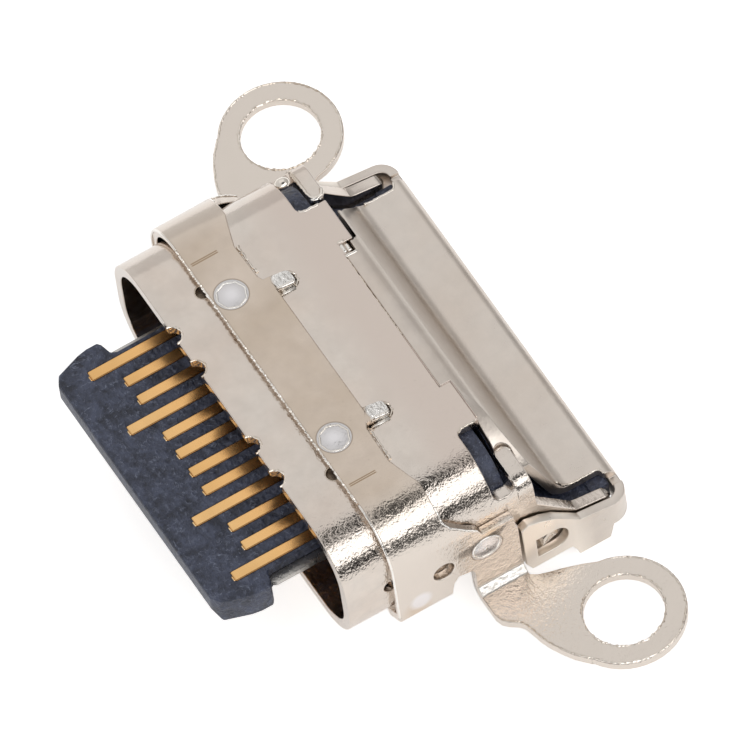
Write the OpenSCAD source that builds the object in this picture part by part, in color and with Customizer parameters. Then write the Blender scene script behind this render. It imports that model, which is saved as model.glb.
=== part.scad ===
/* [Shell] */
// Outer width of the drawn shell
shell_w = 8.9; // [8.7:0.05:9.0]
// Outer height of the drawn shell
shell_h = 3.06; // [3.0:0.02:3.1]
// Radius of the shell's rounded corners, outside
corner_r = 1.15; // [1.1:0.01:1.25]
// Height of the shell's underside above the underside of the ears
shell_lift = 0.17; // [0.15:0.01:0.2]
// Thickness of the shell's sheet
shell_t = 0.25; // [0.2:0.01:0.27]
// Distance from the tongue's front edge back to the shell's lip
lip_y = 2.18; // [2.1:0.01:2.25]
// Radius of each small scallop in the top lip
scallop_r = 0.2; // [0.15:0.01:0.25]
// Depth of each small scallop in the top lip
scallop_depth = 0.17; // [0.1:0.01:0.2]

/* [Tongue and contacts] */
// Greatest width of the tongue, across its head
tongue_w = 6.69; // [6.6:0.01:6.75]
// Width of the plastic neck behind the head
neck_w = 5.92; // [5.8:0.01:6.0]
// Thickness of the tongue
tongue_t = 0.7; // [0.6:0.01:0.8]
// Contacts in each of the two rows
contacts = 12; // [12]
// Distance between neighbouring contacts
pitch = 0.5; // [0.5]
// Width of a contact blade
blade_w = 0.25; // [0.2:0.01:0.28]
// Thickness of the contact strip
blade_t = 0.1; // [0.08:0.01:0.12]
// Distance from the tongue's front edge to a long contact's tip
long_tip_y = 0.57; // [0.5:0.01:0.65]
// How much further back a short contact's tip lies
short_step = 0.52; // [0.45:0.01:0.6]
// Thickness of the steel plate inside the tongue
plate_t = 0.12; // [0.08:0.01:0.15]

/* [Mounting bracket] */
// Thickness of the bracket's sheet
strap_t = 0.2; // [0.15:0.01:0.25]
// Front edge of the strap
strap_y = 3.17; // [3.1:0.01:3.25]
// Depth of the strap, front to rear, at its middle
strap_depth = 1.18; // [1.15:0.01:1.2]
// Distance between the two ear holes
ear_spacing = 13.16; // [13.1:0.02:13.3]
// Distance from the tongue's front edge to the ear holes
ear_y = 7.02; // [7.0:0.01:7.08]
// Radius of an ear hole
ear_hole_r = 0.8; // [0.7:0.05:0.85]
// Outer radius of an ear
ear_r = 1.25; // [1.2:0.01:1.3]
// Diameter of a laser weld spot
weld_d = 0.7; // [0.6:0.01:0.72]

/* [Rear cover] */
// Thickness of the cover's sheet
cover_t = 0.2; // [0.15:0.01:0.22]
// Height of the low rear plate above the underside of the ears
plate_h = 0.82; // [0.8:0.01:0.85]
// How far each ground tab reaches below the underside of the ears
tab_drop = 0.38; // [0.3:0.01:0.42]
// Outer width across the cover's wings
wings_w = 9.36; // [9.3:0.02:9.4]

/* [Hidden] */
// Whole depth, from the tongue's front edge to the rear wall
depth = 8.4;
// Fineness of every true arc
$fn = 48;
// Room left between pieces that slide into each other
gap = 0.02;
// Overshoot of every cutter past the face that it cuts
cut = 0.5;

base_z = tab_drop;
mid_z = base_z + shell_lift + shell_h / 2;
top_z = mid_z + shell_h / 2;
// Where the shell's flat top ends and its rounded side begins
round_x = shell_w / 2 - corner_r;
side_x = shell_w / 2;
strap_x = side_x + strap_t;
wing_x = wings_w / 2;

// Rear edge of the shell in its middle, of its two raised ends, and of its shoulder slots
seam_y = 5.9;
shell_rear_y = 6.14;
seam_step_x = 1.95;
left_end_y = 6.24;
slit_w = 0.09;
clip_x = [-1.98, -1.68];
clip_rear_y = 6.14;
slot_front_y = 5.63;
slot_rear_y = 6.1;
slot_x = 3.0;
slot_floor_z = 2.84;
slot_corner_r = 0.16;
// Arms that carry the shell's sides on to the rear
arm_front_y = 5.55;
arm_top_z = 2.4;
arm_rear_y = 8.06;
// Fingers folded from the arms over the rear cover
finger_y = [6.12, 6.46];
finger_z = 3.02;
finger_tip_x = 3.44;
finger_bend_r = 0.35;
// Windows in the shell's top, which the strap's two hooks dip into
window_x = 1.8;
window_w = 0.4;
window_y = [4.3, 4.86];
window_corner_r = 0.13;
// Round holes in the shell's top and sides, at the strap's front edge
hole_x = 2.5;
hole_y = 3.17;
hole_r = 0.16;

// Outline of the tongue's head and neck
head_chamfer = [0.43, 0.78];
head_rear_y = 1.18;
neck_y = 1.36;
// Chamfer under the tongue's front edge, depth and height
nose = [0.12, 0.26];
root_y = 3.95;
root_h = 1.1;
flange_y = 4.93;
flange_rear_y = 6.0;
carrier_y = 5.15;
carrier_w = 6.3;
carrier_h = 1.6;
steel_w = 6.34;
row_z = tongue_t / 2 - blade_t / 2;
blade_half = blade_t / 2;
tail_z = base_z + 0.07;
tail_a_y = 7.9;
tail_b_y = 7.0;
bend_a = [6.4, 7.1];
bend_b = [6.25, 6.6];
ground_t = 0.08;

// Rear cover
strip_rear_y = 6.33;
plate_y = 7.25;
ramp_crest_r = 0.36;
ramp_foot_r = 0.3;
plate_z = base_z + plate_h;
plate_w = 7.8;
cover_bend_r = 0.25;
rear_corner_r = 0.42;
crown_x = 1.9;
crown_r = 2.6;
wing_front_y = 5.96;
wing_rear_z = 1.04;

// Mounting bracket
leg_y = [4.86, 5.92];
leg_top_z = 2.46;
leg_bend_r = 0.15;
// The strap's lower edge curls inwards under the shell
curl_z = base_z + 0.7;
curl_rear_y = 4.36;
curl_r = 0.3;
curl_angle = 55;
curl_tail = 0.48;
weld_x = [-2.02, 1.92];
weld_y = 3.55;
weld_flat_r = 0.19;
weld_sink = 0.024;
side_weld = [5.2, 1.94];
// Round hole in the strap's sides, y and z
side_hole = [4.23, 1.9];
side_hole_r = 0.23;
// Hooks on the strap's rear edge
hook_w = 0.36;
hook_y = [4.31, 4.8];
hook_slope = 12;
hook_corner_r = 0.11;

A_NAMES = [for (i = [1:contacts]) str("contact_a", i)];
B_NAMES = [for (i = [1:contacts]) str("contact_b", i)];

nickel = [0.80, 0.77, 0.73];
warm_nickel = [0.74, 0.70, 0.63];
gold = [0.85, 0.65, 0.35];
black_plastic = [0.20, 0.21, 0.26];
grey_plastic = [0.28, 0.28, 0.30];

// Long contacts reach nearer to the front than the others
function tip_y(i) = (i == 1 || i == 4 || i == 9 || i == 12) ? long_tip_y : long_tip_y + short_step;
function contact_x(i) = (i - (contacts + 1) / 2) * pitch;

// Every piece is drawn with its depth counted from the tongue's front edge
module placed() {
    translate([0, -depth / 2, 0]) children();
}

// A front-view outline, x and z, pushed from y0 back to y1
module along_y(y0, y1) {
    translate([0, y1, 0]) rotate([90, 0, 0]) linear_extrude(y1 - y0) children();
}

// A side-view outline, y and z, pushed from x0 to x1
module along_x(x0, x1) {
    translate([x0, 0, 0]) rotate([90, 0, 90]) linear_extrude(x1 - x0) children();
}

module both_sides() {
    children();
    mirror([1, 0, 0]) children();
}

// Front view of the shell's rounded slot shape, grown or shrunk by d
module slot_outline(d, r = corner_r) {
    side_z = shell_h / 2 - r;
    flat_x = side_x - r;
    for (s = [-1, 1], t = [-1, 1]) translate([s * flat_x, mid_z + t * side_z]) circle(r + d);
    translate([-flat_x, mid_z - shell_h / 2 - d]) square([2 * flat_x, shell_h + 2 * d]);
    translate([-side_x - d, mid_z - side_z]) square([2 * (side_x + d), 2 * side_z]);
}

// Top view of a tab that points rearwards, its hinge at the origin and its end's corners rounded
module tab_outline(w, len, r) {
    translate([-w / 2, -0.01]) square([w, len - r + 0.01]);
    translate([r - w / 2, -0.01]) square([w - 2 * r, len + 0.01]);
    for (s = [-1, 1]) translate([s * (w / 2 - r), len - r]) circle(r);
}

// Shell

// Side view of an arm: below the shoulder slot, up to its finger, then a sloping and a level top
module arm_outline() {
    polygon([[arm_front_y, base_z], [arm_front_y, arm_top_z], [finger_y[0], arm_top_z],
             [finger_y[0], finger_z - finger_bend_r], [finger_y[1], finger_z - finger_bend_r],
             [finger_y[1] + 0.02, 2.11], [7.28, 1.2], [7.4, 1.16], [arm_rear_y - 0.1, 1.07],
             [arm_rear_y, 0.98], [arm_rear_y, base_z]]);
}

// The arm is as thick as the shell, and its end is rounded across that thickness
module arm() {
    round_r = shell_t / 2;
    intersection() {
        along_x(side_x - shell_t, side_x) arm_outline();
        linear_extrude(top_z) translate([side_x - round_r, arm_rear_y - round_r]) {
            circle(round_r);
            translate([-round_r - cut, -depth]) square([2 * (round_r + cut), depth]);
        }
    }
}

module finger() {
    inner_r = finger_bend_r - shell_t;
    centre_x = side_x - finger_bend_r;
    centre_z = finger_z - finger_bend_r;
    tip_r = (finger_y[1] - finger_y[0]) / 2;
    along_y(finger_y[0], finger_y[1]) intersection() {
        translate([centre_x, centre_z]) difference() {
            circle(finger_bend_r);
            circle(inner_r);
        }
        translate([centre_x, centre_z]) square(finger_bend_r + cut);
    }
    translate([0, 0, finger_z - shell_t]) linear_extrude(shell_t) {
        translate([finger_tip_x + tip_r, finger_y[0]])
            square([centre_x - finger_tip_x - tip_r, 2 * tip_r]);
        translate([finger_tip_x + tip_r, finger_y[0] + tip_r]) circle(tip_r);
    }
}

// Side view of a shoulder slot, open above and to the rear
module slot_side() {
    corner_z = slot_floor_z + slot_corner_r;
    translate([slot_front_y, corner_z]) square([depth, shell_h]);
    translate([slot_front_y + slot_corner_r, slot_floor_z])
        square([slot_rear_y - slot_front_y - 2 * slot_corner_r, shell_h]);
    for (y = [slot_front_y + slot_corner_r, slot_rear_y - slot_corner_r])
        translate([y, corner_z]) circle(slot_corner_r);
}

module shoulder_slot() {
    corner_x = slot_x + slot_corner_r;
    corner_y = slot_front_y + slot_corner_r;
    intersection() {
        along_x(slot_x, side_x + cut) slot_side();
        linear_extrude(2 * top_z) {
            translate([corner_x, corner_y]) circle(slot_corner_r);
            translate([corner_x, slot_front_y]) square([side_x, depth]);
            translate([slot_x, corner_y]) square([side_x, depth]);
        }
    }
    // The shoulder ends where the finger begins
    translate([slot_x, finger_y[0], arm_top_z]) cube([side_x, depth, shell_h]);
}

// A short clip behind the step of the seam, bent down from the shell's rear edge
module seam_clip() {
    along_x(clip_x[0], clip_x[1])
        polygon([[seam_y - 0.1, top_z], [seam_y, top_z], [clip_rear_y - 0.05, top_z - 0.09],
                 [clip_rear_y, top_z - 0.15], [clip_rear_y, top_z - shell_t - 0.03],
                 [seam_y - 0.1, top_z - shell_t]]);
}

module main_shell() color(nickel) placed() {
    difference() {
        along_y(lip_y, left_end_y) difference() {
            slot_outline(0);
            slot_outline(-shell_t);
        }
        // Only the left raised end is as long as that
        translate([-seam_step_x, shell_rear_y, mid_z]) cube([shell_w, depth, shell_h]);
        translate([-shell_w, shell_rear_y, -cut]) cube([2 * shell_w, depth, mid_z + cut]);
        // Scallops in the top lip
        for (x = [-1.97, -1.05, 1.05, 1.97])
            translate([x, lip_y + scallop_depth - scallop_r, mid_z]) cylinder(r = scallop_r, h = shell_h);
        // The rear edge steps forward in the middle
        translate([-seam_step_x, seam_y, mid_z]) cube([2 * seam_step_x, depth, shell_h]);
        // Shoulder slots, holes and hook windows
        both_sides() {
            shoulder_slot();
            translate([hole_x, hole_y, mid_z]) cylinder(r = hole_r, h = shell_h);
            translate([round_x, hole_y, mid_z]) rotate([0, 90, 0]) cylinder(r = hole_r, h = side_x);
            translate([window_x, window_y[0], top_z - shell_t - cut])
                linear_extrude(shell_t + 2 * cut)
                    tab_outline(window_w, window_y[1] - window_y[0], window_corner_r);
        }
    }
    seam_clip();
    both_sides() {
        arm();
        finger();
    }
}

// Mounting bracket

// The strap's shoulders are a little squarer than the shell's
module strap_arch(d) {
    shoulder_ease = 0.25;
    slot_outline(d, corner_r - shoulder_ease);
    translate([-side_x - d, base_z]) square([2 * (side_x + d), mid_z - base_z]);
}

// Top view of the strap: the middle is a little deeper than the two ends
module strap_top() {
    rear_y = strap_y + strap_depth;
    polygon([[-round_x - 0.4, strap_y], [round_x + 0.4, strap_y], [round_x + 0.4, rear_y + 0.06],
             [round_x + 0.18, rear_y - 0.02], [2.95, rear_y - 0.18], [2.1, rear_y - 0.16], [1.75, rear_y],
             [-1.75, rear_y], [-2.1, rear_y - 0.16], [-2.95, rear_y - 0.18],
             [-round_x - 0.18, rear_y - 0.02], [-round_x - 0.4, rear_y + 0.06]]);
}

// Side view of the strap: it flows down the shoulder and rearwards into the leg
module strap_side() {
    rear_y = strap_y + strap_depth;
    difference() {
        polygon([[strap_y - cut, curl_z], [curl_rear_y, curl_z], [curl_rear_y + 0.06, 1.31], [4.53, 1.44],
                 [leg_y[0] - 0.05, 1.38], [leg_y[0], 1.28], [leg_y[1], 1.28], [leg_y[1] - 0.06, leg_top_z],
                 [5.15, leg_top_z], [5.08, 2.62], [4.84, 2.84], [4.68, 2.99], [4.52, 3.12], [4.41, 3.3],
                 [rear_y + 0.06, 3.5], [rear_y + 0.06, top_z + 1], [strap_y - cut, top_z + 1]]);
        translate(side_hole) circle(side_hole_r);
    }
}

module strap_curl() {
    along_y(strap_y, curl_rear_y) translate([strap_x - curl_r, curl_z]) {
        intersection() {
            difference() {
                circle(curl_r);
                circle(curl_r - strap_t);
            }
            polygon([[0, 0], [1, 0], [1, -1], [cos(curl_angle), -sin(curl_angle)]]);
        }
        rotate(-curl_angle) translate([curl_r - strap_t, -curl_tail]) square([strap_t, curl_tail]);
    }
}

// Top view of the ear: a ring on a root as deep as the leg, with a shoulder in its front edge
module ear_outline() {
    translate([ear_spacing / 2, ear_y]) circle(ear_r);
    polygon([[strap_x + leg_bend_r - 0.02, leg_y[0]], [5.3, leg_y[0]], [5.46, 4.9], [5.58, 5.01], [5.7, 5.17],
             [5.8, 5.24], [6.0, 5.29], [6.23, 5.34], [6.43, 5.41], [6.68, 5.53], [6.93, 5.68], [7.21, 5.92],
             [ear_spacing / 2, ear_y], [5.38, 7.26], [5.22, 6.9], [5.08, 6.5], [5.01, 6.25], [4.94, 6.05],
             [4.85, leg_y[1]], [strap_x + leg_bend_r - 0.02, leg_y[1]]]);
}

module leg_and_ear() {
    fold_x = strap_x + leg_bend_r;
    fold_z = base_z + strap_t + leg_bend_r;
    along_x(side_x, strap_x)
        translate([leg_y[0], fold_z]) square([leg_y[1] - leg_y[0], mid_z - fold_z]);
    // The fold, a quarter of a ring
    along_y(leg_y[0], leg_y[1]) intersection() {
        translate([fold_x, fold_z]) difference() {
            circle(leg_bend_r + strap_t);
            circle(leg_bend_r);
        }
        translate([side_x, base_z]) square([fold_x - side_x, fold_z - base_z]);
    }
    translate([0, 0, base_z]) linear_extrude(strap_t) ear_outline();
}

// A hook on the strap's rear edge, bent down into its window in the shell
module hook() {
    len = hook_y[1] - hook_y[0];
    fall = len * tan(hook_slope);
    intersection() {
        along_x(window_x - hook_w, window_x + hook_w) translate([hook_y[0], top_z])
            polygon([[-0.1, strap_t], [0, strap_t], [len, strap_t - fall], [len, -fall], [0, 0], [-0.1, 0]]);
        translate([window_x, hook_y[0] - 0.1, 0]) linear_extrude(2 * top_z)
            tab_outline(hook_w, len + 0.1, hook_corner_r);
    }
}

// A laser weld: a flat middle inside a shallow groove
module weld_crater() {
    rim_r = weld_d / 2;
    rotate_extrude() polygon([[weld_flat_r, 0.001], [rim_r - 0.08, -weld_sink], [rim_r - 0.05, -weld_sink],
                              [rim_r, 0.001], [rim_r, 0.1], [weld_flat_r, 0.1]]);
}

module mounting_bracket() color(warm_nickel) placed() difference() {
    union() {
        intersection() {
            along_y(strap_y, leg_y[1]) difference() {
                strap_arch(strap_t);
                strap_arch(0);
            }
            union() {
                translate([0, 0, top_z - 0.3]) linear_extrude(1) strap_top();
                both_sides() along_x(round_x + 0.4, strap_x + 1) strap_side();
            }
        }
        both_sides() {
            strap_curl();
            leg_and_ear();
            hook();
        }
    }
    both_sides() {
        translate([ear_spacing / 2, ear_y, 0]) cylinder(r = ear_hole_r, h = mid_z);
        translate([strap_x, side_weld[0], side_weld[1]]) rotate([0, 90, 0]) weld_crater();
    }
    for (x = weld_x) translate([x, weld_y, top_z + strap_t]) weld_crater();
}

// Rear cover

// Side view of the cover's top: strip, ramp, low plate and the bend down to the rear wall
module cover_profile(d) {
    ramp = atan((top_z - plate_z) / (plate_y - strip_rear_y));
    crest = [strip_rear_y - ramp_crest_r * tan(ramp / 2), top_z - ramp_crest_r];
    foot = [plate_y + ramp_foot_r * tan(ramp / 2), plate_z + ramp_foot_r];
    steps = 6;
    polygon(concat(
        [[seam_y - cut, base_z], [seam_y - cut, top_z - d]],
        [for (i = [0:steps]) crest + (ramp_crest_r - d) * [sin(ramp * i / steps), cos(ramp * i / steps)]],
        [for (i = [steps:-1:0]) foot - (ramp_foot_r + d) * [sin(ramp * i / steps), cos(ramp * i / steps)]],
        [[depth - cover_bend_r, plate_z - d], [depth - cover_bend_r, plate_z - cover_bend_r],
         [depth - d, plate_z - cover_bend_r], [depth - d, base_z]]));
    intersection() {
        translate([depth - cover_bend_r, plate_z - cover_bend_r]) circle(cover_bend_r - d);
        translate([depth - cover_bend_r, base_z]) square([cover_bend_r, plate_h]);
    }
}

// Front view of the cover's crown, which falls towards both sides
module crown_outline(d) {
    crown_z = top_z - crown_r;
    for (s = [-1, 1]) translate([s * crown_x, crown_z]) circle(crown_r - d);
    translate([-crown_x, base_z]) square([2 * crown_x, top_z - base_z - d]);
    translate([-crown_x - crown_r + d, base_z]) square([2 * (crown_x + crown_r - d), crown_z - base_z]);
}

module cover_form(d) {
    intersection() {
        along_x(-wing_x, wing_x) cover_profile(d);
        along_y(seam_y - cut, depth) crown_outline(d);
    }
}

// Top view of the cover's blank: its left end is cut back, and a notch takes the right finger
module plate_outline() {
    half = plate_w / 2;
    side = half + 0.15;
    corner_y = 8.07;
    slit_rear_y = left_end_y + slit_w;
    tip_r = (finger_y[1] - finger_y[0]) / 2;
    difference() {
        polygon([[clip_x[1] + gap, seam_y + gap], [seam_step_x - gap, seam_y + gap],
                 [seam_step_x - gap, shell_rear_y + gap], [half, shell_rear_y + gap], [half, corner_y],
                 [side, corner_y + 0.08], [side, depth + cut], [-side, depth + cut], [-side, corner_y + 0.08],
                 [-half, corner_y], [-half, 7.22], [-3.45, 6.9], [-3.08, 6.63], [-2.76, 6.43],
                 [-2.72, slit_rear_y], [-2.02, slit_rear_y], [-seam_step_x + gap, left_end_y],
                 [-seam_step_x + gap, clip_rear_y + gap], [clip_x[1] + gap, clip_rear_y + gap]]);
        translate([finger_tip_x + tip_r, finger_y[0] + tip_r]) circle(tip_r + gap);
        translate([finger_tip_x + tip_r, finger_y[0] - cut]) square([half, 2 * tip_r + cut + gap]);
    }
}

// Side view of a wing: a stepped top edge, a D-shaped window and a ground tab below
module wing_outline() {
    difference() {
        polygon([[wing_front_y, base_z + 0.25], [wing_front_y + 0.12, base_z], [6.98, base_z], [7.1, 0.12],
                 [7.12, 0], [7.82, 0], [7.88, 0.2], [7.93, base_z], [depth - rear_corner_r, base_z],
                 [depth - rear_corner_r, wing_rear_z], [7.24, 1.16], [6.72, 1.66], [6.45, 1.82],
                 [wing_front_y + 0.15, 1.93], [wing_front_y, 1.82]]);
        translate([6.24, 0.66]) square([0.4, 0.62]);
        translate([6.63, 0.97]) circle(0.31);
    }
}

module rear_corner() {
    centre = [wing_x - rear_corner_r, depth - rear_corner_r];
    translate([0, 0, base_z]) linear_extrude(wing_rear_z - base_z) intersection() {
        translate(centre) difference() {
            circle(rear_corner_r);
            circle(rear_corner_r - cover_t);
        }
        translate(centre) square(rear_corner_r);
    }
}

module rear_cover() color(nickel) placed() {
    intersection() {
        difference() {
            cover_form(0);
            cover_form(cover_t);
        }
        translate([0, 0, plate_z - cover_bend_r - gap]) linear_extrude(shell_h) plate_outline();
    }
    along_y(depth - cover_t, depth)
        translate([rear_corner_r - wing_x, base_z])
            square([wings_w - 2 * rear_corner_r, plate_z - cover_bend_r - base_z]);
    both_sides() {
        along_x(wing_x - cover_t, wing_x) wing_outline();
        rear_corner();
    }
}

// Plastic and steel inside

// Side view of one contact strip, with its row's height r above or below the middle
module strip_outline(tip, r, bend, tail) {
    z = mid_z + r;
    slope_z = (z - tail_z - 0.05) / (bend[1] - bend[0]);
    t = blade_half * (sqrt(1 + slope_z * slope_z) - 1) / slope_z;
    low = tail_z + 0.05;
    polygon([[tip + 0.06, z + sign(r) * blade_half], [tip, z - sign(r) * blade_half],
             [bend[0] - sign(r) * t, z - sign(r) * blade_half],
             [bend[1] - sign(r) * t, low - sign(r) * blade_half], [tail, low - sign(r) * blade_half],
             [tail, low + sign(r) * blade_half], [bend[1] + sign(r) * t, low + sign(r) * blade_half],
             [bend[0] + sign(r) * t, z + sign(r) * blade_half]]);
}

module contact_a(i) {
    along_x(contact_x(i) - blade_w / 2, contact_x(i) + blade_w / 2)
        strip_outline(tip_y(i), row_z, bend_a, tail_a_y);
}

module contact_b(i) {
    along_x(contact_x(i) - blade_w / 2, contact_x(i) + blade_w / 2)
        strip_outline(tip_y(contacts + 1 - i), -row_z, bend_b, tail_b_y);
}

module all_contacts() {
    for (i = [1:contacts]) {
        contact_a(i);
        contact_b(i);
    }
}

// Top view of the tongue: chamfered head, latch notch, neck
module tongue_outline() {
    head = tongue_w / 2;
    neck = neck_w / 2;
    front = head - head_chamfer[0];
    polygon([[-front, 0], [front, 0], [front + 0.2, 0.12], [head - 0.04, head_chamfer[1] - 0.12],
             [head, head_chamfer[1] + 0.1], [head, head_rear_y - 0.06],
             [head - 0.08, head_rear_y], [neck + 0.06, neck_y - 0.12], [neck, neck_y], [neck, flange_y + 0.1],
             [-neck, flange_y + 0.1], [-neck, neck_y], [-neck - 0.06, neck_y - 0.12],
             [0.08 - head, head_rear_y], [-head, head_rear_y - 0.06], [-head, head_chamfer[1] + 0.1],
             [0.04 - head, head_chamfer[1] - 0.12], [-front - 0.2, 0.12]]);
}

// Top view of the steel plate: it shows beside the neck, where a plug's latches hook
module steel_outline() {
    w = steel_w / 2;
    rear_y = flange_rear_y - 0.05;
    polygon([[-2.6, 0.5], [2.6, 0.5], [2.7, 1.0], [w - 0.12, 1.18], [w, 1.34], [w, rear_y],
             [-w, rear_y], [-w, 1.34], [0.12 - w, 1.18], [-2.7, 1.0]]);
}

module mid_plate() color(nickel) placed()
    translate([0, 0, mid_z - plate_t / 2]) linear_extrude(plate_t) difference() {
        steel_outline();
        for (x = [-2, 0, 2]) translate([x, 2.2]) circle(0.35);
    }

module carrier_space(z0, z1) {
    along_y(carrier_y, flange_rear_y) translate([-carrier_w / 2, mid_z + z0]) square([carrier_w, z1 - z0]);
}

module tongue() color(black_plastic) placed() difference() {
    union() {
        intersection() {
            translate([0, 0, mid_z - tongue_t / 2]) linear_extrude(tongue_t) tongue_outline();
            along_x(-tongue_w, tongue_w) translate([0, mid_z - tongue_t / 2])
                polygon([[0, nose[1]], [nose[0], 0], [depth, 0], [depth, tongue_t], [0.04, tongue_t],
                         [0, tongue_t - 0.04]]);
        }
        // The thicker root, where the ground plates lie
        along_y(root_y, flange_y) translate([-neck_w / 2, mid_z - root_h / 2]) square([neck_w, root_h]);
        along_y(flange_y, flange_rear_y) slot_outline(-shell_t - gap);
    }
    carrier_space(-carrier_h / 2, carrier_h / 2);
    translate([0, 0, mid_z - plate_t / 2]) linear_extrude(plate_t) steel_outline();
    all_contacts();
}

module upper_carrier() color(grey_plastic) placed() difference() {
    carrier_space(plate_t / 2, carrier_h / 2);
    for (i = [1:contacts]) contact_a(i);
}

module lower_carrier() color(grey_plastic) placed() difference() {
    carrier_space(-carrier_h / 2, -plate_t / 2);
    for (i = [1:contacts]) contact_b(i);
}

// A thin spring plate on the tongue's root, folded up against the flange
module ground_plate() {
    difference() {
        translate([0, 0, root_h / 2]) linear_extrude(ground_t) difference() {
            translate([-2.8, root_y]) square([5.6, flange_y - root_y]);
            for (x = [-1.7, 1.7]) translate([x, root_y + 0.3]) circle(0.15);
        }
        for (x = [-2.8, 2.65]) translate([x, root_y - 0.01, 0]) cube([0.15, 0.2, root_h]);
    }
    along_y(flange_y - ground_t, flange_y) translate([-2.6, root_h / 2]) square([5.2, 0.4]);
}

module upper_ground_plate() color(nickel) placed() translate([0, 0, mid_z]) ground_plate();

module lower_ground_plate() color(nickel) placed() translate([0, 0, mid_z]) mirror([0, 0, 1]) ground_plate();

module rear_housing() color(black_plastic) placed() difference() {
    union() {
        intersection() {
            along_x(-3.6, 3.6) polygon([[shell_rear_y + gap, base_z + 0.25], [8.1, base_z + 0.25],
                                        [8.1, plate_z - cover_t - gap], [7.02, plate_z - cover_t - gap],
                                        [6.2, 2.95], [shell_rear_y + gap, 3.1]]);
            along_y(shell_rear_y, depth) crown_outline(cover_t + 0.1);
        }
        along_x(-4.15, 4.15) polygon([[shell_rear_y + gap, 0.7], [8.0, 0.7], [8.0, 0.9], [7.2, 0.9],
                                      [6.85, 1.2], [6.6, 1.8], [shell_rear_y + gap, 1.9]]);
    }
    all_contacts();
}

main_shell();
mounting_bracket();
rear_cover();
tongue();
upper_carrier();
lower_carrier();
mid_plate();
upper_ground_plate();
lower_ground_plate();
rear_housing();
for (i = [1:contacts]) color(gold) placed() contact_a(i);
for (i = [1:contacts]) color(gold) placed() contact_b(i);
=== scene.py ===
import math
import random

import bmesh
import bpy
from mathutils import Matrix, Vector
from mathutils.bvhtree import BVHTree


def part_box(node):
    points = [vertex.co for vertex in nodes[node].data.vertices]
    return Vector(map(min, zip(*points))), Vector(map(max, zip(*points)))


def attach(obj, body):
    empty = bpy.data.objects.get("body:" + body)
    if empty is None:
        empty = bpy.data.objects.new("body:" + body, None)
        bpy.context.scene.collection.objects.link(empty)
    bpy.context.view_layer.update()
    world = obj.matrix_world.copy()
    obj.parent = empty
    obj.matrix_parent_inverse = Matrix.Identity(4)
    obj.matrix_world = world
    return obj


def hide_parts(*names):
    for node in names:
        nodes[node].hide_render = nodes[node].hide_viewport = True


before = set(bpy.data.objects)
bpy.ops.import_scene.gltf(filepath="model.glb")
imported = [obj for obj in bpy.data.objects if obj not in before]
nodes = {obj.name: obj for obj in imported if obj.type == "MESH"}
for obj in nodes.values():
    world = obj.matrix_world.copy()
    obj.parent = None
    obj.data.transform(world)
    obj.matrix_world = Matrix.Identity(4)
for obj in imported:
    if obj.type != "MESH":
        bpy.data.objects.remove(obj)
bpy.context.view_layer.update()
mm = 0.001


# The view. The photograph looks down on the mouth from its right through a long lens,
# so its lines hardly converge, and the picture is turned a little round its middle.
azimuth, elevation, roll = (math.radians(a) for a in (67.36, 57.62, -9.51))
image_side = 750
pixels_per_mm = 51.44
aim = Vector((0.727, 0.911, 3.113)) * mm

photo_view = bpy.data.cameras.new("photo_view")
photo_view.lens = 1600
distance = photo_view.lens * image_side / photo_view.sensor_width / pixels_per_mm * mm
away = Vector((math.sin(azimuth) * math.cos(elevation), -math.cos(azimuth) * math.cos(elevation),
               math.sin(elevation)))
level = Vector((math.cos(azimuth), math.sin(azimuth), 0))
right = math.cos(roll) * level + math.sin(roll) * away.cross(level)
camera = bpy.data.objects.new("photo_view", photo_view)
bpy.context.scene.collection.objects.link(camera)
camera.matrix_world = (Matrix.Translation(aim + away * distance)
                       @ Matrix((right, away.cross(right), away)).transposed().to_4x4())
photo_view.clip_start, photo_view.clip_end = 0.01, 10
bpy.context.scene.camera = camera
bpy.context.scene.view_settings.view_transform = "Standard"


# The floor and the studio. The floor is plain pale paper that keeps the part's shadow.
# A large soft box overhead, a narrow bright one on the right between dark cloths and a
# pale room give the plating its bands.
def new_material(name):
    """A material, its node tree and the inputs of its shader."""
    material = bpy.data.materials.new(name)
    material.use_nodes = True
    tree = material.node_tree
    return material, tree, tree.nodes["Principled BSDF"].inputs


def give(tree, socket, value):
    """Sets a socket to a plain value, or links it to the output that carries the value."""
    if isinstance(value, bpy.types.NodeSocket):
        tree.links.new(value, socket)
    else:
        socket.default_value = value


def maths(tree, operation, *values):
    node = tree.nodes.new("ShaderNodeMath")
    node.operation = operation
    for socket, value in zip(node.inputs, values):
        give(tree, socket, value)
    return node.outputs[0]


floor_mesh = bpy.data.meshes.new("floor")
bm = bmesh.new()
bmesh.ops.create_circle(bm, cap_ends=True, segments=64, radius=3.0)
bm.to_mesh(floor_mesh)
bm.free()
floor = bpy.data.objects.new("floor", floor_mesh)
floor.location.z = -0.02 * mm
bpy.context.scene.collection.objects.link(floor)
paper, tree, surface = new_material("white_paper")
surface["Base Color"].default_value = (0.92, 0.92, 0.92, 1)
surface["Roughness"].default_value = 0.9
surface["Specular IOR Level"].default_value = 0.0
# The paper glows a little in the plating, and more to the eye
rays = tree.nodes.new("ShaderNodeLightPath").outputs
glow = 0.0
for ray, strength in (("Is Camera Ray", 0.6), ("Is Glossy Ray", 0.36), ("Is Transmission Ray", 0.36)):
    glow = maths(tree, "MULTIPLY_ADD", rays[ray], strength, glow)
surface["Emission Color"].default_value = (1, 1, 1, 1)
tree.links.new(glow, surface["Emission Strength"])
floor_mesh.materials.append(paper)


def mix_colour(tree, factor, first, second):
    node = tree.nodes.new("ShaderNodeMix")
    node.data_type = "RGBA"
    for name, value in (("Factor", factor), ("A", first), ("B", second)):
        give(tree, node.inputs[name], value)
    return node.outputs["Result"]


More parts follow.
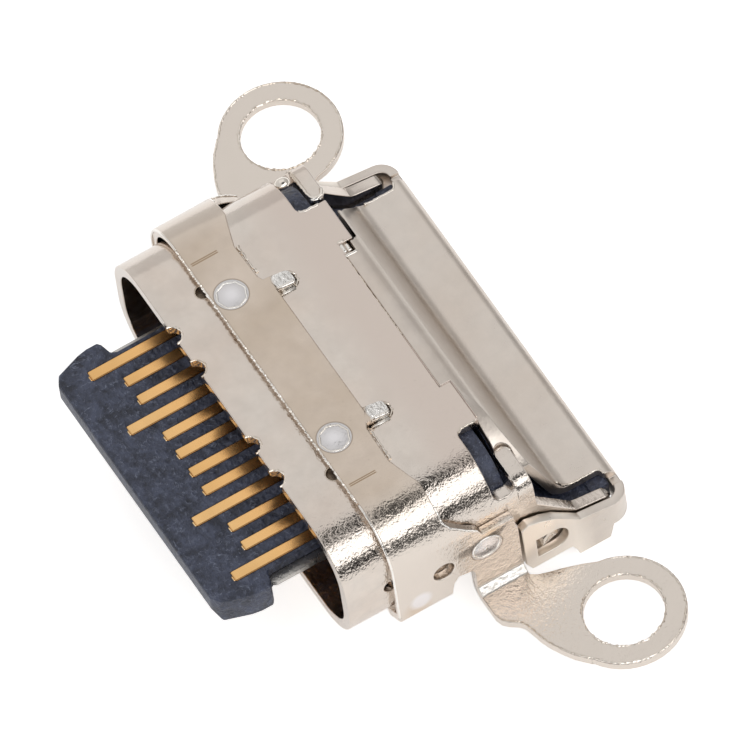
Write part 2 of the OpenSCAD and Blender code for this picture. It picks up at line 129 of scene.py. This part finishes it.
def remap(tree, source, low, high, out_low=0.0, out_high=1.0, smooth=False):
    node = tree.nodes.new("ShaderNodeMapRange")
    node.interpolation_type = "SMOOTHSTEP" if smooth else "LINEAR"
    for name, value in (("Value", source), ("From Min", low), ("From Max", high),
                        ("To Min", out_low), ("To Max", out_high)):
        give(tree, node.inputs[name], value)
    return node.outputs["Result"]


def axes_of(tree, place):
    split = tree.nodes.new("ShaderNodeSeparateXYZ")
    tree.links.new(place, split.inputs[0])
    return split.outputs


world = bpy.data.worlds.new("studio")
bpy.context.scene.world = world
world.use_nodes = True
tree = world.node_tree
direction = tree.nodes.new("ShaderNodeTexCoord").outputs["Generated"]
towards = axes_of(tree, direction)
room = tree.nodes.new("ShaderNodeValToRGB")
for end, shade in zip(room.color_ramp.elements, ((0.78, 0.77, 0.76, 1), (0.68, 0.68, 0.68, 1))):
    end.color = shade
tree.links.new(towards["Z"], room.inputs[0])
walls = room.outputs["Color"]
# A dimmer wall behind, a dark opening overhead and a dark skirting on the right
opening = tree.nodes.new("ShaderNodeVectorMath")
opening.operation = "DOT_PRODUCT"
tree.links.new(direction, opening.inputs[0])
opening.inputs[1].default_value = Vector((0.14, 0.2, 0.97)).normalized()
opening_rim, opening_middle = (math.cos(math.radians(a)) for a in (17, 14))
skirting = maths(tree, "MULTIPLY_ADD", towards["Z"], -2.1, towards["X"])
for place, near, far, grey in ((towards["Y"], 0.35, 0.9, 0.46),
                               (opening.outputs["Value"], opening_rim, opening_middle, 0.02),
                               (skirting, 0.1, 0.25, 0.02)):
    cloth = remap(tree, place, near, far, smooth=True)
    walls = mix_colour(tree, cloth, walls, (grey, grey * 0.98, grey * 0.96, 1))
seen = tree.nodes.new("ShaderNodeLightPath").outputs["Is Camera Ray"]
tree.links.new(mix_colour(tree, seen, walls, (1, 1, 1, 1)), tree.nodes["Background"].inputs["Color"])


def soft_box(name, towards, width, height, radiance, far=0.6):
    lamp = bpy.data.lights.new(name, "AREA")
    lamp.shape = "RECTANGLE"
    lamp.size, lamp.size_y = width, height
    lamp.energy = radiance * math.pi * width * height
    box = bpy.data.objects.new(name, lamp)
    bpy.context.scene.collection.objects.link(box)
    place = Vector(towards).normalized()
    box.location = place * far
    box.rotation_euler = place.to_track_quat("Z", "Y").to_euler()


soft_box("overhead_box", (-0.46, 0.18, 0.87), width=0.5, height=0.56, radiance=0.2)
soft_box("right_box", (0.70, 0.21, 0.69), width=0.8, height=0.38, radiance=1.3)


# The shell. It is drawn from stainless strip into a flattened tube, its lip is turned
# and polished, and the whole of it is nickel-plated. Plating over a drawn bend peels
# a little like orange skin, which shows where the bend mirrors a dark edge.
def object_place(tree):
    return tree.nodes.new("ShaderNodeTexCoord").outputs["Object"]


def noise(tree, place, scale, detail=2.0, rough=0.5, swirl=0.0):
    """Noise with so many cells to the millimetre."""
    node = tree.nodes.new("ShaderNodeTexNoise")
    tree.links.new(place, node.inputs["Vector"])
    for name, value in (("Scale", scale / mm), ("Detail", detail), ("Roughness", rough),
                        ("Distortion", swirl)):
        node.inputs[name].default_value = value
    return node.outputs["Fac"]


def fade(tree, axis, start, end, before=0.0, after=1.0):
    """One value before the start and another after the end, both places in mm along an axis."""
    return remap(tree, axis, start * mm, end * mm, before, after)


def bumped(tree, height, deep, strength=1.0):
    bump = tree.nodes.new("ShaderNodeBump")
    bump.inputs["Distance"].default_value = deep * mm
    give(tree, bump.inputs["Strength"], strength)
    tree.links.new(height, bump.inputs["Height"])
    return bump


plate_group = bpy.data.node_groups.new("plated_sheet", "ShaderNodeTree")
for way, name, kind, value in (("INPUT", "Tone", "Color", (0.7, 0.66, 0.6, 1)),
                               ("INPUT", "Stain", "Color", (0.6, 0.54, 0.46, 1)),
                               ("INPUT", "Peel", "Float", 1.0), ("INPUT", "Gloss", "Float", 0.2),
                               ("OUTPUT", "Color", "Color", None), ("OUTPUT", "Roughness", "Float", None),
                               ("OUTPUT", "Normal", "Vector", None)):
    socket = plate_group.interface.new_socket(name=name, in_out=way, socket_type="NodeSocket" + kind)
    if value is not None:
        socket.default_value = value
tree = plate_group
given = tree.nodes.new("NodeGroupInput").outputs
result = tree.nodes.new("NodeGroupOutput").inputs
place = object_place(tree)
clouds, smudge = noise(tree, place, 0.55, 3), noise(tree, place, 2.4, 4, 0.6)
peel, grain = noise(tree, place, 10.0, swirl=0.5), noise(tree, place, 24.0, 1, swirl=0.5)
stained = mix_colour(tree, remap(tree, clouds, 0.4, 0.7), given["Tone"], given["Stain"])
smudged = tree.nodes.new("ShaderNodeVectorMath")
smudged.operation = "SCALE"
tree.links.new(stained, smudged.inputs[0])
tree.links.new(remap(tree, smudge, 0.3, 0.75, 0.93, 1.05), smudged.inputs["Scale"])
tree.links.new(smudged.outputs[0], result["Color"])
tree.links.new(maths(tree, "ADD", given["Gloss"], remap(tree, smudge, 0.3, 0.75, -0.03, 0.07)),
               result["Roughness"])
# The left bends were polished, so the peel fades towards that side
peel_left = fade(tree, axes_of(tree, place)["X"], -3.2, 2.4, 0.15, 1.0)
skin = bumped(tree, maths(tree, "MULTIPLY_ADD", grain, 0.45, peel), 0.02,
              strength=maths(tree, "MULTIPLY", given["Peel"], peel_left))
tree.links.new(skin.outputs["Normal"], result["Normal"])


def plated(name, tone, stain, peel, gloss):
    """A plated metal: its material, node tree and shader inputs, as new_material gives them."""
    material, tree, surface = new_material(name)
    surface["Metallic"].default_value = 1.0
    sheet = tree.nodes.new("ShaderNodeGroup")
    sheet.node_tree = plate_group
    for wish, value in (("Tone", (*tone, 1)), ("Stain", (*stain, 1)), ("Peel", peel), ("Gloss", gloss)):
        sheet.inputs[wish].default_value = value
    tree.links.new(sheet.outputs["Color"], surface["Base Color"])
    tree.links.new(sheet.outputs["Roughness"], surface["Roughness"])
    tree.links.new(sheet.outputs["Normal"], surface["Normal"])
    return material, tree, surface


def paint(tree, surface, mask, tone):
    """Lays a tone over a material's colour where the mask is one."""
    under = surface["Base Color"].links[0].from_socket
    tree.links.new(mix_colour(tree, mask, under, (*tone, 1)), surface["Base Color"])


def spot(tree, place, centre, inner, outer, most=1.0):
    """A mask round a centre in mm: its most inside the inner radius, nought outside the outer."""
    apart = tree.nodes.new("ShaderNodeVectorMath")
    apart.operation = "DISTANCE"
    tree.links.new(place, apart.inputs[0])
    apart.inputs[1].default_value = Vector(centre) * mm
    return fade(tree, apart.outputs["Value"], inner, outer, most, 0.0)


def shown_piece(name, bm, material, slot, *replaced):
    mesh = bpy.data.meshes.new(name)
    bm.to_mesh(mesh)
    bm.free()
    mesh.materials.append(material)
    piece = bpy.data.objects.new(name, mesh)
    bpy.context.scene.collection.objects.link(piece)
    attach(piece, "root")
    if replaced:
        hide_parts(*replaced)
    return piece


def smooth_faces(bm):
    for face in bm.faces:
        face.smooth = True


def stamped(name, node, edge_width, material, slot):
    """A piece that stands for a node: its triangles joined and every sharp edge rounded.

    A corner of the rounding that strays from the solid is put back on it, and none leaves
    the node's box.
    """
    low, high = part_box(node)
    same_place, speck = 0.003 * mm, 0.0005 * mm
    flat, sharp = math.radians(0.6), math.radians(28)
    furthest_stray = 0.45 * edge_width * mm
    bm = bmesh.new()
    bm.from_mesh(nodes[node].data)
    bmesh.ops.remove_doubles(bm, verts=bm.verts, dist=same_place)
    bmesh.ops.dissolve_limit(bm, angle_limit=flat, verts=bm.verts, edges=bm.edges)
    bm.normal_update()
    solid = BVHTree.FromBMesh(bm)
    sharp_edges = [e for e in bm.edges if e.is_manifold and e.calc_face_angle() > sharp]
    bmesh.ops.bevel(bm, geom=sharp_edges, offset=edge_width * mm, segments=3, profile=0.5,
                    affect="EDGES", material=-1, clamp_overlap=False)
    for corner in bm.verts:
        nearest, _, _, stray = solid.find_nearest(corner.co)
        if stray > furthest_stray:
            corner.co = nearest
        corner.co = [min(max(value, least), most) for value, least, most in zip(corner.co, low, high)]
    bmesh.ops.dissolve_degenerate(bm, dist=speck, edges=bm.edges)
    smooth_faces(bm)
    even = shown_piece(name, bm, material, slot, node).modifiers.new("even_shading", "WEIGHTED_NORMAL")
    even.weight = 60
    even.keep_sharp = True


shell_nickel, tree, surface = plated("shell_nickel", (0.69, 0.625, 0.565), (0.67, 0.58, 0.51),
                                     peel=0.55, gloss=0.15)
place = object_place(tree)
axes = axes_of(tree, place)
# The rear half of the shell's top was warmed by the welding, which left it a little pink
warmed = maths(tree, "MULTIPLY", fade(tree, axes["Y"], 0.4, 1.2), fade(tree, axes["Z"], 3.45, 3.55))
paint(tree, surface, warmed, (0.65, 0.565, 0.505))
# Painted shade darkens the shell where the arms end against the cover
for side in (-1, 1):
    paint(tree, surface, spot(tree, place, (side * 4.33, 3.9, 0.98), 0.1, 0.24), (0.36, 0.33, 0.30))
stamped("drawn_shell", "main_shell", 0.025, shell_nickel, "shell_nickel")


# The bracket. A strap of the same plated steel, stained a little by its heat treatment,
# is pressed round the shell and held by laser welds, and its legs turn out into the two
# screw ears. The press leaves a rough bright burr along the strap's front edge.
strap_top, strap_side = 3.81, 4.65
# Centre of the strap's bend round the shoulder, as x and z
bend_centre = (3.55, 2.71)
top_weld_y, top_welds = -0.65, (("left", -2.02), ("right", 1.92))
# Centre of the weld by each leg, as y and z
leg_weld = (1.0, 1.94)
hook_x = 1.8
# Centre of each ear and its screw hole, as x and y
ear_centre, ear_hole_rim_radius, ear_rim_radius = (6.58, 2.82), 0.825, 1.213


def off(tree, value, middle):
    """How far a value is from a middle one."""
    return maths(tree, "ABSOLUTE", maths(tree, "SUBTRACT", value, middle))


bracket_nickel, tree, surface = plated("bracket_nickel", (0.66, 0.565, 0.48), (0.57, 0.475, 0.38),
                                       peel=0.55, gloss=0.18)
place = object_place(tree)
axes = axes_of(tree, place)
sideways = maths(tree, "ABSOLUTE", axes["X"])
# The legs and ears are hardly stained
paint(tree, surface, fade(tree, sideways, 3.4, 4.3), (0.71, 0.64, 0.575))
# Two etched ticks near the strap's ends, each a fine brown outline round a plain middle
tick_x, tick_y, tick_half_width = 3.03, -0.665, 0.022
outline = fade(tree, off(tree, off(tree, sideways, tick_x * mm), tick_half_width * mm), 0.006, 0.02, 1.0, 0.0)
tick = maths(tree, "MULTIPLY", outline, fade(tree, off(tree, axes["Y"], tick_y * mm), 0.28, 0.31, 0.85, 0.0))
paint(tree, surface, maths(tree, "MULTIPLY", tick, fade(tree, axes["Z"], 3.4, 3.5)), (0.30, 0.20, 0.11))
# On each side a yellow tint of heat over the leg's weld, and low in front a brown one
# with a pale patch of remelted metal: its y and z, two radii, strength and tone
side_stains = ((1.12, 2.4, 0.02, 0.3, 0.35, (0.72, 0.47, 0.2)),
               (-0.66, 1.1, 0.06, 0.4, 0.5, (0.58, 0.42, 0.27)),
               (-0.55, 1.36, 0.16, 0.28, 0.7, (0.84, 0.82, 0.84)))
for side in (-1, 1):
    for y, z, inner, outer, most, tone in side_stains:
        paint(tree, surface, spot(tree, place, (side * strap_side, y, z), inner, outer, most), tone)
# Each weld has a dark outline, a pale pool and a frosted middle
weld_rings = ((0.355, 0.375, (0.36, 0.30, 0.24)), (0.335, 0.35, (0.63, 0.61, 0.61)),
              (0.06, 0.26, (0.78, 0.76, 0.77)))
welds = [(x, top_weld_y, strap_top) for _, x in top_welds]
welds += [(side * strap_side, *leg_weld) for side in (1, -1)]
for centre in welds:
    for inner, outer, tone in weld_rings:
        paint(tree, surface, spot(tree, place, centre, inner, outer), tone)
# The hooks are painted almost white as a painted highlight on their tops, and were crumpled as they were
# pressed into the windows
hooks = maths(tree, "ADD", *(spot(tree, place, (side * hook_x, 0.42, 3.72), 0.24, 0.29) for side in (-1, 1)))
paint(tree, surface, hooks, (0.97, 0.95, 0.92))
creased = bumped(tree, maths(tree, "MULTIPLY", hooks, noise(tree, place, 8.0, 3, 0.6)), 0.09)
tree.links.new(surface["Normal"].links[0].from_socket, creased.inputs["Normal"])
tree.links.new(creased.outputs["Normal"], surface["Normal"])
stamped("pressed_bracket", "mounting_bracket", 0.025, bracket_nickel, "bracket_nickel")


def skin_rings(bm, rings, closed=False):
    """Faces from each ring of corners to the next, and over the two ends unless it closes."""
    for ring, after in zip(rings, rings[1:] + (rings[:1] if closed else [])):
        for k, corner in enumerate(ring):
            following = (k + 1) % len(ring)
            bm.faces.new((corner, ring[following], after[following], after[k]))
    if not closed:
        bm.faces.new(rings[0])
        bm.faces.new(rings[-1])
    bmesh.ops.recalc_face_normals(bm, faces=bm.faces)


def bead(name, path, radius, rough, material, slot, closed=False, seed=1, step=0.035):
    """A thin uneven bead of metal along a path given in mm; a rough one glints in facets."""
    chance = random.Random(seed)
    path = [Vector(p) for p in path]
    if closed:
        path.append(path[0])
    points = []
    for first, last in zip(path, path[1:]):
        steps = max(1, round((last - first).length / step))
        points += [first.lerp(last, i / steps) for i in range(steps)]
    if not closed:
        points.append(path[-1])
    bm = bmesh.new()
    rings = []
    for i, point in enumerate(points):
        after = points[(i + 1) % len(points)] if closed else points[min(i + 1, len(points) - 1)]
        before = points[i - 1] if closed or i else points[0]
        along = (after - before).normalized()
        across = along.cross(Vector((0.31, 0.17, 0.93))).normalized()
        over = along.cross(across)
        size = radius * chance.uniform(1 - rough, 1)
        shift = radius * rough * 0.5
        middle = point + across * chance.uniform(-shift, shift)
        rings.append([bm.verts.new((middle + (across * math.cos(turn) + over * math.sin(turn)) * size) * mm)
                      for turn in (k * math.pi / 4 for k in range(8))])
    skin_rings(bm, rings, closed)
    if rough < 0.4:
        smooth_faces(bm)
    shown_piece(name, bm, material, slot)


def arc(centre, radius, turns):
    """Points round a centre in a plane, at angles in degrees."""
    return [(centre[0] + radius * math.cos(a), centre[1] + radius * math.sin(a))
            for a in (math.radians(turn) for turn in turns)]


bead_nickel = plated("bead_nickel", (0.94, 0.91, 0.87), (0.80, 0.73, 0.65), peel=0.6, gloss=0.12)[0]
fold_nickel = plated("fold_nickel", (0.90, 0.87, 0.83), (0.82, 0.76, 0.68), peel=0.7, gloss=0.33)[0]
edge_nickel = plated("edge_nickel", (0.84, 0.78, 0.71), (0.60, 0.50, 0.40), peel=0.6, gloss=0.12)[0]
bead("strap_front_burr", [(-3.5, -1.03, 3.766), (3.45, -1.03, 3.766)], 0.041, 0.6, bead_nickel,
     "bracket_nickel", seed=1, step=0.026)
for word, x in top_welds:
    rim = [(*p, 3.777) for p in arc((x, top_weld_y), 0.31, range(0, 360, 45))]
    bead(word + "_top_weld_rim", rim, 0.03, 0.3, bead_nickel, "bracket_nickel", closed=True, seed=3)
# The coined strip in the fold between leg and ear, hammered uneven: its first row's y and
# its length, its upper edge's x and z and its width, and the steps along and across it
strip_y, strip_length, strip_x, strip_z, strip_width = 0.67, 1.04, 4.655, 0.745, 0.16
steps_along, steps_across = 36, 6
for side, word in ((1, "right"), (-1, "left")):
    # The burr is rolled smooth round the shoulder and down the side
    shoulder = arc(bend_centre, 1.066, range(92, -1, -4)) + [(4.616, 1.1)]
    rolled = [(side * x, -1.035, z) for x, z in shoulder]
    bead(word + "_front_roll", rolled, 0.032, 0.12, bead_nickel, "bracket_nickel", seed=2)
    rim = [(side * 4.63, *p) for p in arc(leg_weld, 0.3, range(0, 360, 20))]
    bead(word + "_side_weld_rim", rim, 0.028, 0.25, bead_nickel, "bracket_nickel", closed=True, seed=4)
    dot = [(side * 4.62, 0.99, 1.93), (side * 4.645, *leg_weld)]
    bead(word + "_side_weld_dot", dot, 0.075, 0.1, bead_nickel, "bracket_nickel", seed=4)
    # The ear's rims, roughened by the punch
    hole = arc(ear_centre, ear_hole_rim_radius, (7.5 * k for k in range(48)))
    rim = [(side * x, y, 0.572) for x, y in hole]
    bead(word + "_ear_hole_rim", rim, 0.034, 0.8, edge_nickel, "bracket_nickel", closed=True, seed=5)
    root = [(5.3, 0.69), (5.45, 0.73), (5.56, 0.84), (5.69, 1.0), (5.8, 1.07), (6.0, 1.12), (6.23, 1.17),
            (6.43, 1.24), (6.67, 1.36), (6.91, 1.51), (7.18, 1.74)]
    rim = [(side * x, y, 0.57) for x, y in root]
    rim += [(side * x, y, 0.574) for x, y in arc(ear_centre, ear_rim_radius, range(-60, 168, 6))]
    bead(word + "_ear_rim", rim, 0.028, 0.6, edge_nickel, "bracket_nickel", seed=6)
    # The coined strip, row by row; its two last corners lie inside the fold
    bm = bmesh.new()
    chance = random.Random(7)
    rows = []
    for i in range(steps_along + 1):
        y = strip_y + strip_length * i / steps_along
        row = []
        for k in range(steps_across + 1):
            down, dent = strip_width * k / steps_across, chance.uniform(-0.0025, 0.0015)
            row.append((strip_x + down + dent, strip_z - down + dent))
        row += [(4.8, 0.5), (4.6, 0.7)]
        rows.append([bm.verts.new(Vector((side * x, y, z)) * mm) for x, z in row])
    skin_rings(bm, rows)
    smooth_faces(bm)
    shown_piece(word + "_coined_fold", bm, fold_nickel, "bracket_nickel")
    # The hook's outer side is pressed up into a bright ridge
    ridge = [(side * hook_x + 0.14, 0.14, 3.758), (side * hook_x + 0.14, 0.56, 3.69)]
    bead(word + "_hook_ridge", ridge, 0.05, 0.12, bead_nickel, "bracket_nickel", seed=12)
    # Burrs on the strap's rear edge beside its middle
    burr = [(side * 2.2, 0.035, 3.755), (side * 2.93, 0.018, 3.755)]
    bead(word + "_strap_rear_burr", burr, 0.048, 0.7, edge_nickel, "bracket_nickel", seed=19, step=0.05)
    # The strap's rear edge, rolled where it runs down into the leg
    edge_turns, edge_y = (54, 43, 32, 22, 15, 7, -5), (0.21, 0.215, 0.22, 0.33, 0.49, 0.65, 0.88)
    rolled = [(side * x, y, z) for (x, z), y in zip(arc(bend_centre, 1.08, edge_turns), edge_y)]
    bead(word + "_strap_rear_roll", rolled, 0.024, 0.3, bead_nickel, "bracket_nickel", seed=13)


# The shell's worked edges, in its own plated steel. The press curled or tore the scallops
# of the lip, the rims of the holes and windows, the shoulder slots and the fingers, and
# it lanced a latch out of each arm.
rim_z = 3.59
scallop_y, scallop_radius = -2.05, 0.215
for number, x in enumerate((-1.97, -1.05, 1.05, 1.97), 1):
    curl = [(*p, rim_z) for p in arc((x, scallop_y), scallop_radius, range(0, 181, 12))]
    bead("scallop_curl_%d" % number, curl, 0.03, 0.4, edge_nickel, "shell_nickel", seed=number)
# A darker copy of the nickel, as painted shade at the bottom of each hole
hole_shade_nickel = plated("hole_shade_nickel", (0.36, 0.30, 0.24), (0.19, 0.145, 0.11), peel=0.4, gloss=0.4)[0]
hole_y, hole_radius = -1.03, 0.165
for x, word in ((-2.5, "left"), (2.5, "right")):
    rim = [(*p, 3.592) for p in arc((x, hole_y), hole_radius, range(170, 371, 20))]
    bead(word + "_hole_rim", rim, 0.018, 0.3, edge_nickel, "shell_nickel", seed=16)
    # The dull sheet folded in under the shell's top shows at the bottom of the hole, darkened with painted
    # shade
    bm = bmesh.new()
    bmesh.ops.create_cone(bm, cap_ends=True, segments=32, radius1=hole_radius * mm,
                          radius2=hole_radius * mm, depth=0.06 * mm)
    bmesh.ops.translate(bm, vec=Vector((x, hole_y, 3.45)) * mm, verts=bm.verts)
    shown_piece(word + "_hole_floor", bm, hole_shade_nickel, "shell_nickel")
# Middle of the end of each finger, as x and y
finger_end = (3.61, 2.09)
for side, word in ((1, "right"), (-1, "left")):
    window_x = side * hook_x
    rim = [(window_x - 0.215, 0.17), (window_x - 0.215, 0.56), (window_x - 0.08, 0.67),
           (window_x + 0.08, 0.67), (window_x + 0.21, 0.55)]
    bead(word + "_window_rim", [(*p, rim_z) for p in rim], 0.038, 0.6, edge_nickel, "shell_nickel", seed=8)
    bar = [(window_x + 0.222, 0.12, 3.598), (window_x + 0.222, 0.52, 3.598)]
    bead(word + "_window_bar", bar, 0.05, 0.06, fold_nickel, "shell_nickel", seed=25, step=0.2)
    lip = [(side * x, y, rim_z) for x, y in ((3.05, 1.46), (2.99, 1.56), (2.985, 1.88))]
    bead(word + "_slot_lip", lip, 0.042, 0.35, edge_nickel, "shell_nickel", seed=9)
    # The left finger was curled up more than the right one
    tip_z, curl = (3.005, 0.024) if side == 1 else (3.03, 0.05)
    tip = [(side * x, y, tip_z) for x, y in arc(finger_end, 0.15, range(90, 271, 15))]
    bend = [(side * x, 1.94, z) for x, z in arc((4.1, 2.67), 0.335, range(90, 10, -10))]
    bead(word + "_finger_edge", tip + bend, curl, 0.3, edge_nickel, "shell_nickel", seed=10)
    # Plating almost closes the gap between the finger and the cover
    seal = [(side * x, y, 2.985) for x, y in arc(finger_end, 0.18, range(90, 241, 15))]
    bead(word + "_finger_seal", seal, 0.014, 0.2, shell_nickel, "shell_nickel", seed=22)
    # The latch lanced out of the arm, which shows in the cover's side window
    bm = bmesh.new()
    foot = ((4.44, 2.1, 0.72), (4.44, 2.68, 0.8), (4.44, 2.7, 1.2), (4.44, 2.12, 1.24))
    ridge = ((4.6, 2.2, 0.84), (4.56, 2.52, 0.93), (4.5, 2.5, 1.1), (4.58, 2.24, 1.02))
    rings = [[bm.verts.new(Vector((side * x, y, z)) * mm) for x, y, z in ring] for ring in (foot, ridge)]
    skin_rings(bm, rings)
    shown_piece(word + "_latch", bm, edge_nickel, "shell_nickel")
# The left finger's end is curled up, and the press left a knob at the outer corner of its slot
bead("left_finger_curl", [(-3.49, 1.93, 2.99), (-3.45, 2.0, 3.01), (-3.45, 2.12, 3.01)], 0.065, 0.15,
     bead_nickel, "shell_nickel", seed=23)
bm = bmesh.new()
bmesh.ops.create_icosphere(bm, subdivisions=3, radius=0.135 * mm)
bmesh.ops.scale(bm, vec=(1, 1.2, 0.8), verts=bm.verts)
bmesh.ops.translate(bm, vec=Vector((-3.92, 1.58, 3.37)) * mm, verts=bm.verts)
smooth_faces(bm)
shown_piece("left_slot_knob", bm, bead_nickel, "shell_nickel")
# Plating bridges the rear seam in places
seam_y = 1.71
bead("seam_specks", [(-1.6, seam_y, 3.576), (0.5, seam_y, 3.58)], 0.022, 0.7, edge_nickel,
     "shell_nickel", seed=17, step=0.05)
bridge = [(0.5, seam_y, 3.582), (1.2, seam_y, 3.594), (1.94, seam_y, 3.594), (1.94, 1.95, 3.594),
          (2.95, 1.95, 3.594)]
bead("seam_bridge", bridge, 0.014, 0.15, shell_nickel, "shell_nickel", seed=18, step=0.05)
# The clip's crumpled crown, and the two bright bars beside it
for number, (y, z) in enumerate(((1.765, 3.56), (1.865, 3.535)), 1):
    bead("clip_crown_%d" % number, [(-1.94, y, z), (-1.74, y, z)], 0.06, 0.35, bead_nickel,
         "shell_nickel", seed=19 + number, step=0.06)
bead("clip_inner_bar", [(-1.645, 1.7, 3.595), (-1.645, 1.96, 3.58)], 0.045, 0.12, bead_nickel,
     "shell_nickel", seed=14)
bead("clip_outer_bar", [(-2.0, 1.72, 3.59), (-2.0, 1.86, 3.585)], 0.034, 0.3, edge_nickel,
     "shell_nickel", seed=15)


# The rear cover. One blank of thinner plated steel, folded down behind the contacts
# and held by the shell's fingers.
cover_nickel, tree, surface = plated("cover_nickel", (0.70, 0.635, 0.575), (0.68, 0.60, 0.53),
                                     peel=0.25, gloss=0.3)
axes = axes_of(tree, object_place(tree))
sideways = maths(tree, "ABSOLUTE", axes["X"])
# Painted shade darkens the ramp between the wings, and the bend over it is matt
ramp_shade = maths(tree, "MULTIPLY", fade(tree, axes["Y"], 2.02, 2.2, 0.0, 0.62),
              fade(tree, axes["Y"], 2.75, 3.0, 1.0, 0.0))
ramp_shade = maths(tree, "MULTIPLY", ramp_shade, fade(tree, sideways, 3.95, 4.0, 1.0, 0.0))
paint(tree, surface, ramp_shade, (0.45, 0.405, 0.36))
matt = maths(tree, "MAXIMUM", surface["Roughness"].links[0].from_socket,
             fade(tree, axes["Z"], 2.9, 3.3, 0.0, 0.43))
tree.links.new(matt, surface["Roughness"])
# A painted highlight lightens the fronts of the wings
wing_highlight = maths(tree, "MULTIPLY", fade(tree, sideways, 4.3, 4.4, 0.0, 0.9),
               fade(tree, axes["Y"], 2.9, 3.3, 1.0, 0.0))
paint(tree, surface, wing_highlight, (0.93, 0.86, 0.78))
stamped("folded_cover", "rear_cover", 0.022, cover_nickel, "cover_nickel")
# The sheared end of the plate; on the left it starts lower, past the open gap
edge = [(3.88, 2.98, 1.53), (3.88, 3.08, 1.33), (3.88, 3.2, 1.22), (3.88, 3.36, 1.185), (3.88, 3.86, 1.185),
        (3.92, 3.91, 1.185), (4.03, 3.95, 1.185)]
for side, word, start in ((1, "right", 0), (-1, "left", 2)):
    bead(word + "_plate_edge", [(side * x, y, z) for x, y, z in edge[start:]], 0.032, 0.3, edge_nickel,
         "cover_nickel", seed=11)


# The tongue and the plastic behind it. Glass-filled black polymer, moulded over the
# contacts, with the faint flow marks and scuffs of a part that has been handled.
def dress(node, material):
    nodes[node].data.materials.clear()
    nodes[node].data.materials.append(material)


tongue_plastic, tree, surface = new_material("tongue_plastic")
place = object_place(tree)
flow, specks = noise(tree, place, 2.6, 6, 0.72), noise(tree, place, 9.0, 3, 0.6)
mottled = mix_colour(tree, remap(tree, flow, 0.38, 0.62), (0.018, 0.021, 0.036, 1),
                     (0.062, 0.073, 0.118, 1))
tree.links.new(mottled, surface["Base Color"])
# Fine pale scuffs, where a swirled noise passes one value, broken up by the specks
scuff = remap(tree, off(tree, noise(tree, place, 1.1, swirl=6.0), 0.52), 0.003, 0.016, 1.0, 0.0)
broken = remap(tree, specks, 0.43, 0.57, 0.0, 0.75)
paint(tree, surface, maths(tree, "MULTIPLY", scuff, broken), (0.19, 0.215, 0.29))
# Paler grains where the skin of the moulding is rubbed, and dark pits between them
paint(tree, surface, remap(tree, specks, 0.56, 0.68, 0.0, 0.5), (0.12, 0.135, 0.19))
paint(tree, surface, remap(tree, specks, 0.3, 0.42, 0.5, 0.0), (0.012, 0.013, 0.02))
tree.links.new(remap(tree, specks, 0.3, 0.7, 0.34, 0.52), surface["Roughness"])
grained = bumped(tree, maths(tree, "ADD", specks, flow), 0.05, 0.9)
tree.links.new(grained.outputs["Normal"], surface["Normal"])
stamped("moulded_tongue", "tongue", 0.03, tongue_plastic, "tongue_plastic")
for node in ("rear_housing", "upper_carrier", "lower_carrier"):
    dress(node, tongue_plastic)
# A lug at each rear corner of the housing fills the space between the arm and the cover
lug_size, lug_x, lug_y, lug_z = (0.62, 0.42, 0.5), 3.85, 3.77, 0.72
for side, word in ((1, "right"), (-1, "left")):
    bm = bmesh.new()
    bmesh.ops.create_cube(bm, size=1.0)
    bmesh.ops.scale(bm, vec=Vector(lug_size) * mm, verts=bm.verts)
    bmesh.ops.translate(bm, vec=Vector((side * lug_x, lug_y, lug_z)) * mm, verts=bm.verts)
    bmesh.ops.bevel(bm, geom=bm.edges, offset=0.05 * mm, segments=2, profile=0.5, affect="EDGES", material=-1)
    shown_piece(word + "_housing_lug", bm, tongue_plastic, "housing_plastic")


# The contacts and the plates between them. Copper-alloy strips are stamped side by side,
# gold over nickel, each with a coined tip that dips into the plastic. The plates are
# thin steel, moulded in between the two rows.
pitch = 0.5
tip_gold = plated("tip_gold", (0.95, 0.72, 0.42), (0.85, 0.55, 0.25), peel=0.1, gloss=0.15)[0]
contact_gold, tree, surface = plated("contact_gold", (0.89, 0.56, 0.25), (0.81, 0.48, 0.19),
                                     peel=0.06, gloss=0.22)
axes = axes_of(tree, object_place(tree))
# Redder towards the shell, a painted tint of the shade there, and a dark brown painted shadow along one side
# of each strip where it sinks into the plastic
paint(tree, surface, fade(tree, axes["Y"], -3.0, -2.2, 0.0, 0.8), (0.98, 0.56, 0.22))
across = maths(tree, "FRACT", maths(tree, "DIVIDE", axes["X"], pitch * mm))
paint(tree, surface, remap(tree, across, 0.69, 0.715, 0.0, 0.85), (0.16, 0.07, 0.025))
for node in sorted(nodes):
    if node.startswith("contact_a"):
        stamped(node.replace("contact_a", "upper_strip_"), node, 0.03, contact_gold, "contact_gold")
        # The shears leave a small raised burr across the strip's tip
        low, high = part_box(node)
        burr = [(high[0] / mm - inset, low[1] / mm + 0.035, high[2] / mm - 0.012) for inset in (0.13, 0.02)]
        bead(node.replace("contact_a", "tip_burr_"), burr, 0.026, 0.35, tip_gold, "contact_gold", seed=24)
    elif node.startswith("contact_b"):
        dress(node, contact_gold)
plate_steel = plated("plate_steel", (0.6, 0.58, 0.56), (0.5, 0.48, 0.45), peel=0.3, gloss=0.25)[0]
for node in ("mid_plate", "upper_ground_plate", "lower_ground_plate"):
    dress(node, plate_steel)
